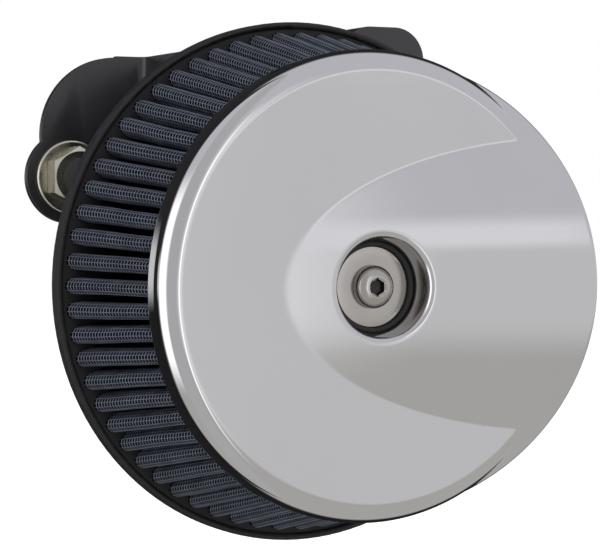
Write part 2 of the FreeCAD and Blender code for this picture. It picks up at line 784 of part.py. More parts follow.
def support_bracket():
    """One folded sheet: a plate on the backplate, two webs and a tab for each cylinder head."""
    outer, thickness = dim.bracket_half_width, dim.sheet_thickness
    inner = outer - thickness
    plate_front_y, plate_rear_y = -plate_rear, thickness - plate_rear
    tab_front_y, tab_rear_y = -tab_front, -tab_rear
    tab_end = dim.breather_x + dim.tab_lobe_radius + thickness
    body = doc.addObject("PartDesign::Body", "folded_strip")
    right_side = [
        (outer, plate_front_y), (outer, tab_front_y), (tab_end, tab_front_y), (tab_end, tab_rear_y),
        (inner, tab_rear_y), (inner, plate_rear_y),
    ]
    left_side = [(-x, y) for x, y in reversed(right_side)]
    sketch = profile_sketch(body, "XY_Plane", right_side + left_side)
    strip = body.newObject("PartDesign::Pad", "strip")
    strip.Profile = sketch
    bind(strip, Length=dim.bracket_top)
    doc.recompute()
    bends = (
        (dim.bend_radius, ((outer, tab_front_y), (inner, plate_rear_y))),
        (dim.bend_radius + thickness, ((outer, plate_front_y), (inner, tab_rear_y))),
    )
    for number, (radius, corners) in enumerate(bends):
        names = []
        for index, edge in enumerate(body.Shape.Edges, start=1):
            middle = edge.BoundBox.Center
            upright = edge.BoundBox.ZLength > dim.bracket_top.number / 2
            near = [abs(abs(middle.x) - x.number) + abs(middle.y - y.number) < 1e-3 for x, y in corners]
            if upright and any(near):
                names.append(f"Edge{index}")
        unbent = body.Tip
        bend = body.newObject("PartDesign::Fillet", f"bend_{number}")
        bend.Base = (unbent, names)
        bind(bend, Radius=radius)
        doc.recompute()
    depth = dim.bracket_depth + thickness * 2 + plate_rear
    start = tab_rear - thickness
    near_y, far_y = -plate_rear - thickness, tab_rear_y + thickness
    outlines = [block("plate_outline", (-outer, near_y, dim.bracket_bottom), (outer, far_y, dim.bracket_top))]
    bend_edge = inner - dim.bend_radius
    for side, sign in SIDES.items():
        x_of_lobe, x_of_shoulder = dim.breather_x * sign, dim.tab_shoulder_x * sign
        spans = {
            "root": (dim.breather_x, dim.tab_shoulder_z),
            "web": (dim.tab_shoulder_x, dim.bracket_top),
            "side": (tab_end, dim.bracket_top),
        }
        blocks = {}
        for span, (x_out, high) in spans.items():
            low_x, high_x = (bend_edge, x_out) if sign > 0 else (-x_out, -bend_edge)
            blocks[span] = block(f"{span}_outline_{side}", (low_x, near_y, dim.web_bottom),
                                 (high_x, far_y, high))
        shoulder = cylinder(f"tab_shoulder_{side}", dim.tab_shoulder_radius, start, depth,
                            x_of_shoulder, dim.tab_shoulder_z)
        lobe = cylinder(f"tab_lobe_{side}", dim.tab_lobe_radius, start, depth, x_of_lobe, dim.breather_z)
        upper = common(f"tab_upper_{side}", [shoulder, blocks["side"]])
        outlines += [lobe, upper, blocks["root"], blocks["web"]]
    flat = common("bracket_blank", [body, fuse("bracket_outline", outlines, refine=True)])
    tools = []
    for side, sign in SIDES.items():
        tools.append(cylinder(f"tab_hole_{side}", dim.breather_shank_radius + dim.slip_clearance,
                              tab_rear, thickness, dim.breather_x * sign, dim.breather_z))
    for number, (x, z) in enumerate(bracket_screw_places):
        tools.append(cylinder(f"bracket_hole_{number}", dim.bracket_screw_radius + dim.slip_clearance,
                              plate_rear - thickness, thickness, x, z))
    keep(cut("bracket", flat, tools), "support_bracket")


def bracket_screws():
    """Three button screws that hold the bracket on the rear of the backplate."""
    screw = socket_screw("bracket_screw", dim.bracket_screw_radius, dim.bracket_screw_length,
                         dim.bracket_screw_head_radius, dim.bracket_screw_head_height,
                         dim.bracket_screw_socket, domed=True)
    tip = plate_rear + dim.bracket_screw_length - dim.sheet_thickness
    placements = [Placement(Vector(x.number, -tip.number, z.number), FACE_FORWARD)
                  for x, z in bracket_screw_places]
    group("bracket_screws", screw, placements)


def breather(side, sign):
    """Hollow bolt, washer, seal, hose and nipple that vent one cylinder head."""
    x, z = dim.breather_x * sign, dim.breather_z
    shank, bore, barb = dim.breather_shank_radius, dim.breather_bore_radius, dim.barb_radius
    grip, thread_end = dim.breather_grip_radius, dim.breather_shank_reach
    shank_end = tab_rear - dim.breather_seal_thickness - dim.breather_shank_reach
    shank_length = hex_rear - shank_end
    barb_end = shank_length + dim.breather_hex_height + dim.barb_length
    turned = revolve(f"bolt_turned_{side}", [
        (bore, 0.0), (shank, 0.0), (shank, thread_end), (grip, thread_end), (grip, shank_length),
        (barb, shank_length), (barb, barb_end), (bore, barb_end),
    ], x, shank_end, z)
    head = hexagon(f"bolt_hexagon_{side}", dim.breather_hex_flats, hex_rear, dim.breather_hex_height, x, z)
    passage = cylinder(f"bolt_passage_{side}", bore, hex_rear, dim.breather_hex_height, x, z)
    bolt = fuse(f"bolt_{side}", [turned, cut(f"bolt_head_{side}", head, [passage])])
    keep(bolt, f"breather_bolt_{side}")
    hole = shank + dim.slip_clearance
    keep(ring(f"tab_washer_{side}", hole, dim.breather_washer_radius, tab_front,
              dim.breather_washer_thickness, x, z), f"breather_washer_{side}")
    keep(ring(f"head_seal_{side}", hole, dim.breather_seal_radius, tab_rear - dim.breather_seal_thickness,
              dim.breather_seal_thickness, x, z), f"breather_seal_{side}")
    hose_inner = barb + dim.press_clearance
    keep(ring(f"hose_{side}", hose_inner, hose_inner + dim.hose_wall, hex_front, collar_rear - hex_front,
              x, z), f"breather_hose_{side}")
    collar_start = dim.barb_length
    collar_end = collar_start + dim.nipple_collar_height
    stem_end = collar_end + dim.nipple_insert
    keep(revolve(f"nipple_{side}", [
        (bore, 0.0), (barb, 0.0), (barb, collar_start), (dim.nipple_collar_radius, collar_start),
        (dim.nipple_collar_radius, collar_end), (barb, collar_end), (barb, stem_end), (bore, stem_end),
    ], x, collar_rear - dim.barb_length, z), f"breather_nipple_{side}")


def check():
    """Stop unless every object of the document and every sub-part came out whole."""
    doc.recompute()
    for item in doc.Objects:
        if "Invalid" in item.State or "Error" in item.State:
            raise RuntimeError(f"{item.Name} failed: {item.State}")
    for item in subparts:
        if item.Shape.isNull() or not item.Shape.isValid() or not item.Shape.Solids:
            raise RuntimeError(f"{item.Label} has no valid solid")


throttle_body_gasket()
backplate()
filter_base()
filter_media()
filter_top_ring()
filter_end_plate()
post_stack()
post_spider()
throttle_body_screws()
cover()
cover_fastening()
support_bracket()
bracket_screws()
for breather_side, breather_sign in SIDES.items():
    breather(breather_side, breather_sign)
check()
os.makedirs("parts", exist_ok=True)
for subpart in subparts:
    subpart.Shape.exportStep(f"parts/{subpart.Label}.step")
    print(subpart.Label, len(subpart.Shape.Solids), round(subpart.Shape.Volume))
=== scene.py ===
"""Looks of a round motorcycle air cleaner: chromed cover, pleated gauze, black bracket and breathers.

Metres, +Z up, the cover faces -Y. A station is a distance in front of the throttle body (station = -y).
"""
import math

import bmesh
import bpy
from bpy.props import FloatProperty, FloatVectorProperty, IntProperty, PointerProperty
from mathutils import Matrix, Vector, noise


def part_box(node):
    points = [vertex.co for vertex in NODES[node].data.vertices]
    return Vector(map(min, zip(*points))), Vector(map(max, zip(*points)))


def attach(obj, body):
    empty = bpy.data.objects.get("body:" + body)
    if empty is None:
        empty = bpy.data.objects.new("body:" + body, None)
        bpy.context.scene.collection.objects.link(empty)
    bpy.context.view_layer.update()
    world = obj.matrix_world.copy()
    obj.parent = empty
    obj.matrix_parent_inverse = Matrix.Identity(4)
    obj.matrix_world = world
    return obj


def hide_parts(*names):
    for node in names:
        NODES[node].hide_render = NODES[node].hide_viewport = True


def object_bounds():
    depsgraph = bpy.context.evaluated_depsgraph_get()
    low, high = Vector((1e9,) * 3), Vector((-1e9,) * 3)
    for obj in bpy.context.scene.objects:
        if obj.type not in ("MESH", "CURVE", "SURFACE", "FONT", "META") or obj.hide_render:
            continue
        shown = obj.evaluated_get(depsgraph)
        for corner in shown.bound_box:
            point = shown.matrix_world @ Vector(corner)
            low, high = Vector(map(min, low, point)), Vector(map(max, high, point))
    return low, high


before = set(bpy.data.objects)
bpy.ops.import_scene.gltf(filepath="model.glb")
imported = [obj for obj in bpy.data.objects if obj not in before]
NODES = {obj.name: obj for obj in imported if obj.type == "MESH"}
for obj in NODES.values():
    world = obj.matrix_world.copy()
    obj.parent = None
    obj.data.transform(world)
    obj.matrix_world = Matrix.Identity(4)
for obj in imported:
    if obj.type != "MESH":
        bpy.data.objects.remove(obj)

bl_info = {
    "name": "Air cleaner",
    "version": (1, 0, 0),
    "blender": (4, 5, 0),
    "location": "View3D > Sidebar > Air cleaner",
    "description": "Finishes the pieces of a round motorcycle air cleaner",
    "category": "Object",
}

CAD_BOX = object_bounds()
BODY = "root"
MM = 0.001
FULL_TURN = 2 * math.pi
MAIN_AXIS = Vector((0, 1, 0))
SIDES = ("left", "right")
TINY = 1e-7
WELD = 1e-6
ROUND_OFF = 0.01 * MM


def station_of(node):
    """Rear and front station of a CAD node."""
    low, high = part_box(node)
    return -high.y, -low.y


def centre_of(node):
    """Middle of a CAD node across the main axis, as (x, z)."""
    low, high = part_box(node)
    return (low.x + high.x) / 2, (low.z + high.z) / 2


def radius_of(node):
    """Half the height of a CAD node."""
    low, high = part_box(node)
    return (high.z - low.z) / 2


COVER_LIP = station_of("cover")[0]
WELL_REAR, WELL_FLOOR = station_of("filter_nut")[1], station_of("cover_washer")[0]
MEDIA_REAR, MEDIA_FRONT = station_of("filter_media")


# Sizes and colours that a user may change

def length(name, description, default):
    """A length property in metres."""
    return FloatProperty(name=name, description=description, default=default, unit="LENGTH", precision=5)


def colour(name, description, default):
    """A linear colour property."""
    return FloatVectorProperty(name=name, description=description, default=default, subtype="COLOR",
                               size=3, min=0.0, max=1.0)


class CoverShape(bpy.types.PropertyGroup):
    """Form of the chromed cover."""
    radius: length("Radius", "Outer radius of the round pan", 76.5 * MM)
    face: length("Face station", "Station of the flat face of the pan", 76.0 * MM)
    edge_round: length("Edge round", "Radius of the rounded edge of the pan", 7.0 * MM)
    wall: length("Wall", "Thickness of the pressed sheet", 1.6 * MM)
    rise: length("Shield rise", "Height of the raised shield over the face", 4.695 * MM)
    shield_length: length("Shield length", "Distance from the summit to the nose of the shield", 110.0 * MM)
    half_width: length("Shield half width", "Half the width of the shield at its summit", 48.5 * MM)
    summit: length("Shield summit", "Distance of the summit to the right of the axis", 75.5 * MM)
    wing_radius: length("Wing radius", "Radius of the outline of the shield's wing", 74.3 * MM)
    wing_offset: length("Wing offset", "Distance of the wing's centre to the right of the axis", 6.2 * MM)
    wing_round: length("Wing round", "Radius of the rim of the wing", 1.8 * MM)
    crease: length("Crease blend", "Height over which the shield melts into the pan", 0.12 * MM)
    well_radius: length("Well radius", "Radius of the screw well at its floor", 14.9 * MM)
    well_neck: length("Well neck", "Radius of the screw well below its rim", 16.2 * MM)
    well_straight: length("Well straight", "Height of the straight wall of the well", 4.0 * MM)
    well_round: length("Well round", "Radius of the rim of the well", 2.0 * MM)
    floor_round: length("Floor round", "Radius between the floor and the wall of the well", 0.5 * MM)
    screw_hole: length("Screw hole", "Radius of the hole in the floor of the well", 4.2 * MM)


class PleatShape(bpy.types.PropertyGroup):
    """Form of the pleated gauze."""
    count: IntProperty(name="Pleats", description="Number of folds round the filter", default=64, min=8)
    tip_rear: length("Rear tip radius", "Radius of the fold tips at the moulded base", 85.5 * MM)
    tip_front: length("Front tip radius", "Radius of the fold tips under the cover", 73.0 * MM)
    depth: length("Depth", "Depth of a fold at the rear", 22.0 * MM)
    tip_round: length("Tip round", "Radius of a fold tip", 2.5 * MM)
    valley_round: length("Valley round", "Radius of a fold valley", 0.6 * MM)
    sheet: length("Sheet", "Thickness of the gauze with its mesh", 1.2 * MM)
    sway: length("Sway", "How far a hand-set fold leans from its even place", 0.35 * MM)
    mesh_pitch: length("Mesh pitch", "Distance between the wires of the mesh", 1.55 * MM)
    mesh_depth: length("Mesh depth", "How far the mesh is seen down the side of a fold", 3.4 * MM)
    wire_radius: length("Wire radius", "Radius of a wire of the mesh", 0.115 * MM)


class FastenerShape(bpy.types.PropertyGroup):
    """Form of the cover screw and of the head breathers."""
    screw_shank: length("Screw shank", "Radius of the cover screw's thread", 3.9 * MM)
    screw_socket: length("Screw socket", "Width over flats of the cover screw's socket", 4.8 * MM)
    screw_pitch: length("Screw pitch", "Thread pitch of the cover screw", 1.25 * MM)
    bolt_thread: length("Bolt thread", "Radius of the breather bolt's thread", 6.35 * MM)
    bolt_waist: length("Bolt waist", "Radius of the breather bolt under its head", 5.5 * MM)
    bolt_bore: length("Bolt bore", "Radius of the passage through the breather bolt", 3.0 * MM)
    bolt_barb: length("Bolt barb", "Radius of the breather bolt's hose barb", 4.2 * MM)
    bolt_flats: length("Bolt flats", "Width over flats of the breather bolt's head", 19.0 * MM)
    bolt_pitch: length("Bolt pitch", "Thread pitch of the breather bolt", 1.27 * MM)
    bolt_chamfer: length("Bolt chamfer", "Chamfer at the end of the breather bolt", 0.8 * MM)
    hose_wall: length("Hose wall", "Thickness of the hose", 2.5 * MM)
    slip: length("Slip clearance", "Radial gap of a ring round a bolt", 0.3 * MM)
    press: length("Press clearance", "Radial gap of a seal round its washer", 0.05 * MM)


class FinishColours(bpy.types.PropertyGroup):
    """Colours of the finishes."""
    chrome: colour("Chrome", "Polished chrome plate", (0.56, 0.56, 0.565))
    steel: colour("Polished steel", "Washer and screw in the well", (0.44, 0.42, 0.395))
    zinc: colour("Zinc", "Plated bolts and washers", (0.60, 0.59, 0.54))
    gauze: colour("Gauze", "Oiled cotton between the wires", (0.004, 0.005, 0.0085))
    wire: colour("Wire", "Coated wire of the mesh", (0.215, 0.24, 0.30))
    moulding: colour("Moulding", "Moulded ends of the filter", (0.014, 0.014, 0.0155))
    rubber: colour("Rubber", "Hoses, seals and grommet", (0.018, 0.018, 0.019))
    coat: colour("Black coat", "Powder coat on the bracket and backplate", (0.012, 0.012, 0.014))
    aluminium: colour("Aluminium", "Turned post and spider", (0.62, 0.62, 0.63))
    gasket: colour("Gasket", "Fibre sheet", (0.20, 0.21, 0.20))


class StudioLight(bpy.types.PropertyGroup):
    """Level of the light."""
    fill: FloatProperty(name="Fill", description="Light from all round", default=0.62, min=0.0)
    key: FloatProperty(name="Key", description="Power of the lamp over the left shoulder", default=7.0,
                       unit="POWER")
    floor: colour("Floor", "Colour of the floor", (0.93, 0.93, 0.93))


# Node building

def add(tree, kind, inputs=None, **settings):
    """Add a node, set its options, and link or set its inputs."""
    node = tree.nodes.new(kind)
    for name, value in settings.items():
        setattr(node, name, value)
    for socket, value in (inputs or {}).items():
        if isinstance(value, bpy.types.NodeSocket):
            tree.links.new(value, node.inputs[socket])
        else:
            node.inputs[socket].default_value = value
    return node


def maths(tree, operation, *values):
    """Output of a Math node."""
    return add(tree, "ShaderNodeMath", dict(enumerate(values)), operation=operation).outputs[0]


def ramp(tree, value, start, end, low=0.0, high=1.0):
    """Smooth passage from low to high while a value goes from start to end."""
    inputs = {"Value": value, "From Min": start, "From Max": end, "To Min": low, "To Max": high}
    return add(tree, "ShaderNodeMapRange", inputs, interpolation_type="SMOOTHSTEP").outputs[0]


def mixed(tree, share, first, second):
    """Colour between two colours."""
    node = add(tree, "ShaderNodeMix", data_type="RGBA")
    for socket, value in zip((node.inputs[0], node.inputs[6], node.inputs[7]), (share, first, second)):
        if isinstance(value, bpy.types.NodeSocket):
            tree.links.new(value, socket)
        else:
            socket.default_value = value
    return node.outputs[2]


def opaque(rgb, factor=1.0):
    """Four-part colour, brighter or darker by a factor."""
    return tuple(min(1.0, part * factor) for part in rgb) + (1.0,)


class Finish:
    """A procedural material with object coordinates at hand."""

    def __init__(self, name, **sockets):
        self.material = bpy.data.materials.new(name)
        self.material.use_nodes = True
        self.tree = self.material.node_tree
        self.shader = self.tree.nodes["Principled BSDF"]
        for socket, value in sockets.items():
            self.shader.inputs[socket.replace("_", " ")].default_value = value
        self.place = add(self.tree, "ShaderNodeTexCoord").outputs["Object"]

    def grain(self, scale, detail=3.0, stretch=(1, 1, 1)):
        """Noise of a scale in repeats per metre, stretched along the axes."""
        mapped = add(self.tree, "ShaderNodeMapping", {"Vector": self.place, "Scale": stretch}).outputs[0]
        inputs = {"Vector": mapped, "Scale": scale, "Detail": detail}
        return add(self.tree, "ShaderNodeTexNoise", inputs).outputs[0]

    def link(self, socket, value):
        """Drive a socket of the shader."""
        self.tree.links.new(value, self.shader.inputs[socket])

    def vary(self, socket, value, start, end, low, high):
        """Drive a socket between two levels by a pattern."""
        self.link(socket, ramp(self.tree, value, start, end, low, high))

    def relief(self, height, depth, strength=1.0):
        """Raise the surface by a height pattern of a real depth."""
        inputs = {"Height": height, "Distance": depth, "Strength": strength}
        self.link("Normal", add(self.tree, "ShaderNodeBump", inputs).outputs[0])


def chrome_plate(colours):
    """Bright plate over polished steel, with the faintest wiping haze."""
    finish = Finish("chrome_plate", Metallic=1.0)
    haze = finish.grain(28.0, 5.0)
    wipe = finish.grain(160.0, 4.0, (0.25, 1.0, 2.4))
    both = maths(finish.tree, "MULTIPLY", haze, wipe)
    finish.vary("Roughness", both, 0.12, 0.42, 0.035, 0.075)
    tint = ramp(finish.tree, haze, 0.3, 0.7)
    finish.link("Base Color", mixed(finish.tree, tint, opaque(colours.chrome, 0.985), opaque(colours.chrome)))
    return finish.material


def lathe_steel(colours):
    """Polished steel with fine turning rings round the main axis."""
    finish = Finish("lathe_steel", Metallic=1.0)
    tree = finish.tree
    split = add(tree, "ShaderNodeSeparateXYZ", {0: finish.place})
    across = maths(tree, "SQRT", maths(tree, "ADD", maths(tree, "POWER", split.outputs["X"], 2.0),
                                       maths(tree, "POWER", split.outputs["Z"], 2.0)))
    rings = add(tree, "ShaderNodeTexNoise", {"W": across, "Scale": 9000.0, "Detail": 2.0},
                noise_dimensions="1D").outputs[0]
    cloud = finish.grain(220.0)
    finish.vary("Roughness", rings, 0.3, 0.7, 0.13, 0.24)
    finish.link("Base Color", mixed(tree, cloud, opaque(colours.steel, 0.9), opaque(colours.steel)))
    finish.relief(rings, 0.004 * MM, 0.5)
    return finish.material


def socket_painted_shade(colours):
    """Painted shade: a dull dark copy of the steel that stands in for the shade inside a screw socket."""
    finish = Finish("socket_painted_shade", Metallic=1.0)
    cloud = finish.grain(900.0, 4.0)
    finish.vary("Roughness", cloud, 0.3, 0.7, 0.42, 0.6)
    finish.link("Base Color", mixed(finish.tree, cloud, opaque(colours.steel, 0.09),
                                    opaque(colours.steel, 0.2)))
    finish.relief(cloud, 0.02 * MM, 0.5)
    return finish.material


def zinc_plate(colours):
    """Zinc plate with a slightly cloudy, yellowish sheen."""
    finish = Finish("zinc_plate", Metallic=1.0)
    cloud = finish.grain(180.0, 4.0)
    brushed = finish.grain(2600.0, 3.0)
    warm = (colours.zinc[0] * 0.92, colours.zinc[1] * 0.88, colours.zinc[2] * 0.72)
    finish.vary("Roughness", cloud, 0.3, 0.7, 0.20, 0.36)
    finish.link("Base Color", mixed(finish.tree, cloud, opaque(colours.zinc), opaque(warm)))
    finish.relief(brushed, 0.02 * MM, 0.35)
    return finish.material


def turned_aluminium(colours):
    """Machined aluminium, evenly dull."""
    finish = Finish("turned_aluminium", Metallic=1.0)
    tool = finish.grain(1500.0, 2.0, (1.0, 6.0, 1.0))
    cloud = finish.grain(120.0)
    finish.vary("Roughness", tool, 0.3, 0.7, 0.28, 0.42)
    finish.link("Base Color", mixed(finish.tree, cloud, opaque(colours.aluminium, 0.86),
                                    opaque(colours.aluminium)))
    finish.relief(tool, 0.02 * MM, 0.5)
    return finish.material


def powder_coat(colours):
    """Satin black powder coat with its fine orange peel."""
    finish = Finish("powder_coat", Specular_IOR_Level=0.55, Coat_Weight=0.25, Coat_Roughness=0.28)
    peel = finish.grain(850.0, 2.0)
    cloud = finish.grain(45.0, 4.0)
    finish.vary("Roughness", cloud, 0.3, 0.7, 0.36, 0.48)
    finish.link("Base Color", mixed(finish.tree, cloud, opaque(colours.coat, 0.8), opaque(colours.coat, 1.4)))
    finish.relief(peel, 0.06 * MM, 0.45)
    return finish.material


def moulded_urethane(colours):
    """Matte moulded urethane with a fine pebbled skin and pale scuffs."""
    finish = Finish("moulded_urethane", Specular_IOR_Level=0.35)
    skin = finish.grain(2400.0, 3.0)
    scuff = finish.grain(320.0, 6.0)
    worn = ramp(finish.tree, scuff, 0.48, 0.72)
    finish.vary("Roughness", scuff, 0.3, 0.7, 0.55, 0.72)
    finish.link("Base Color", mixed(finish.tree, worn, opaque(colours.moulding, 0.85),
                                    opaque(colours.moulding, 1.35)))
    finish.relief(skin, 0.08 * MM, 0.5)
    return finish.material


def black_rubber(colours):
    """Black rubber with a soft bloom."""
    finish = Finish("black_rubber", Specular_IOR_Level=0.45)
    bloom = finish.grain(140.0, 5.0)
    skin = finish.grain(1800.0, 2.0)
    finish.vary("Roughness", bloom, 0.3, 0.7, 0.38, 0.55)
    finish.link("Base Color", mixed(finish.tree, bloom, opaque(colours.rubber, 0.8),
                                    opaque(colours.rubber, 1.5)))
    finish.relief(skin, 0.04 * MM, 0.4)
    return finish.material


def fibre_sheet(colours):
    """Compressed fibre gasket sheet with short flecks."""
    finish = Finish("fibre_sheet", Specular_IOR_Level=0.2)
    fleck = finish.grain(1300.0, 4.0, (1.0, 1.0, 3.0))
    finish.vary("Roughness", fleck, 0.3, 0.7, 0.75, 0.9)
    finish.link("Base Color", mixed(finish.tree, fleck, opaque(colours.gasket, 0.6),
                                    opaque(colours.gasket, 1.3)))
    finish.relief(fleck, 0.05 * MM, 0.5)
    return finish.material


def oiled_gauze(colours):
    """Dark oiled cotton with a fine weave and uneven oil."""
    finish = Finish("oiled_gauze", Specular_IOR_Level=0.06)
    weave = finish.grain(3800.0, 2.0)
    patch = finish.grain(90.0, 4.0)
    finish.vary("Roughness", weave, 0.3, 0.7, 0.75, 0.92)
    finish.link("Base Color", mixed(finish.tree, patch, opaque(colours.gauze, 0.7),
                                    opaque(colours.gauze, 1.6)))
    finish.relief(weave, 0.06 * MM, 0.7)
    return finish.material


def coated_wire(colours):
    """Thin coated wire, a little dulled by oil."""
    finish = Finish("coated_wire", Specular_IOR_Level=0.5, Metallic=0.55)
    oil = finish.grain(160.0, 4.0)
    finish.vary("Roughness", oil, 0.3, 0.7, 0.32, 0.5)
    finish.link("Base Color", mixed(finish.tree, oil, opaque(colours.wire, 0.45), opaque(colours.wire, 1.3)))
    return finish.material


def finish_named(name):
    """Material of a finish, made once."""
    found = bpy.data.materials.get(name)
    if found:
        return found
    makers = (chrome_plate, lathe_steel, zinc_plate, turned_aluminium, powder_coat, moulded_urethane,
              black_rubber, fibre_sheet, oiled_gauze, coated_wire, socket_painted_shade)
    return {maker.__name__: maker for maker in makers}[name](bpy.context.scene.air_cleaner_colours)


# Mesh building

def turned(profile, steps, closed=True):
    """Spin a profile of (radius, station) points round the main axis."""
    shape = bmesh.new()
    points = [shape.verts.new((radius, -station, 0.0)) for radius, station in profile]
    following = points[1:] + points[:1] if closed else points[1:]
    edges = [shape.edges.new(pair) for pair in zip(points, following)]
    bmesh.ops.spin(shape, geom=points + edges, cent=(0, 0, 0), axis=MAIN_AXIS, angle=FULL_TURN,
                   steps=steps, use_merge=True)
    bmesh.ops.remove_doubles(shape, verts=shape.verts, dist=TINY)
    bmesh.ops.recalc_face_normals(shape, faces=shape.faces)
    return shape


def arc(centre, radius, start, end, count):
    """Points on a circle in the (radius, station) plane; angles in degrees from outward to forward."""
    points = []
    for step in range(count + 1):
        angle = math.radians(start + (end - start) * step / count)
        points.append((centre[0] + radius * math.cos(angle), centre[1] + radius * math.sin(angle)))
    return points


def span(start, end, count):
    """Even values from start to end, both left out."""
    return [start + (end - start) * step / (count + 1) for step in range(1, count + 1)]


def soften(shape, angle=35.0):
    """Shade a mesh smooth, with edges kept sharp where faces meet at more than an angle."""
    for face in shape.faces:
        face.smooth = True
    for edge in shape.edges:
        if len(edge.link_faces) == 2:
            edge.smooth = edge.calc_face_angle() < math.radians(angle)


def piece(name, shape, finish, stands_for, angle=35.0):
    """Make an object of a finished mesh, riding on the body in place of CAD nodes."""
    soften(shape, angle)
    mesh = bpy.data.meshes.new(name)
    shape.to_mesh(mesh)
    shape.free()
    mesh.materials.append(finish_named(finish))
    made = bpy.data.objects.new(name, mesh)
    bpy.context.scene.collection.objects.link(made)
    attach(made, BODY)
    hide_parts(*stands_for)
    return made


def dress(node, finish):
    """Give a CAD node a procedural finish."""
    item = NODES[node]
    if not item.material_slots:
        item.data.materials.append(None)
    for slot in item.material_slots:
        slot.material = finish_named(finish)


def eased_copy(node, width, segments=2, angle=40.0):
    """Copy a CAD node's mesh and round its sharp edges."""
    shape = bmesh.new()
    shape.from_mesh(NODES[node].data)
    bmesh.ops.remove_doubles(shape, verts=shape.verts, dist=WELD)
    bmesh.ops.dissolve_limit(shape, angle_limit=math.radians(0.5), verts=shape.verts, edges=shape.edges)
    sharp = [edge for edge in shape.edges
             if len(edge.link_faces) == 2 and edge.calc_face_angle() > math.radians(angle)]
    bmesh.ops.bevel(shape, geom=sharp, offset=width, offset_type="OFFSET", segments=segments, profile=0.5,
                    affect="EDGES", material=-1, clamp_overlap=True)
    bmesh.ops.dissolve_degenerate(shape, dist=WELD, edges=shape.edges)
    bmesh.ops.recalc_face_normals(shape, faces=shape.faces)
    return shape


# Cover

COVER_STEPS = 480
OUTLINE_BLEND = 0.7 * MM
STRETCH_SHARE = 0.78


def melt(first, second, blend):
    """Larger of two heights, rounded off where they cross."""
    near = max(blend - abs(first - second), 0.0)
    return max(first, second) + near * near / (4 * blend)


def wing_reach(cover, angle):
    """Distance from the main axis to the wing's outline in a direction."""
    side = cover.wing_offset * math.sin(angle)
    return cover.wing_offset * math.cos(angle) + math.sqrt(cover.wing_radius ** 2 - side ** 2)


def outline_reach(cover, angle):
    """Distance from the main axis to the cover's outline in a direction."""
    return melt(cover.radius, wing_reach(cover, angle), OUTLINE_BLEND)


def shield_station(cover, x, z):
    """Station of the raised shield."""
    fall = ((x - cover.summit) / cover.shield_length) ** 2 + (z / cover.half_width) ** 2
    return cover.face + cover.rise * (1 - fall)


def rounded_down(station, reach, distance, radius):
    """Station near an outline that is rounded off by a radius."""
    past = min(max(distance - (reach - radius), 0.0), radius)
    return station - radius + math.sqrt(radius * radius - past * past)


def cover_station(cover, distance, angle):
    """Station of the outside of the cover at a distance from the axis in a direction."""
    x, z = distance * math.cos(angle), distance * math.sin(angle)
    pan = rounded_down(cover.face, cover.radius, distance, cover.edge_round)
    wing = rounded_down(shield_station(cover, x, z), wing_reach(cover, angle), distance, cover.wing_round)
    if distance > cover.radius:
        pan = COVER_LIP
    if distance > wing_reach(cover, angle):
        wing = COVER_LIP
    return melt(pan, wing, cover.crease)


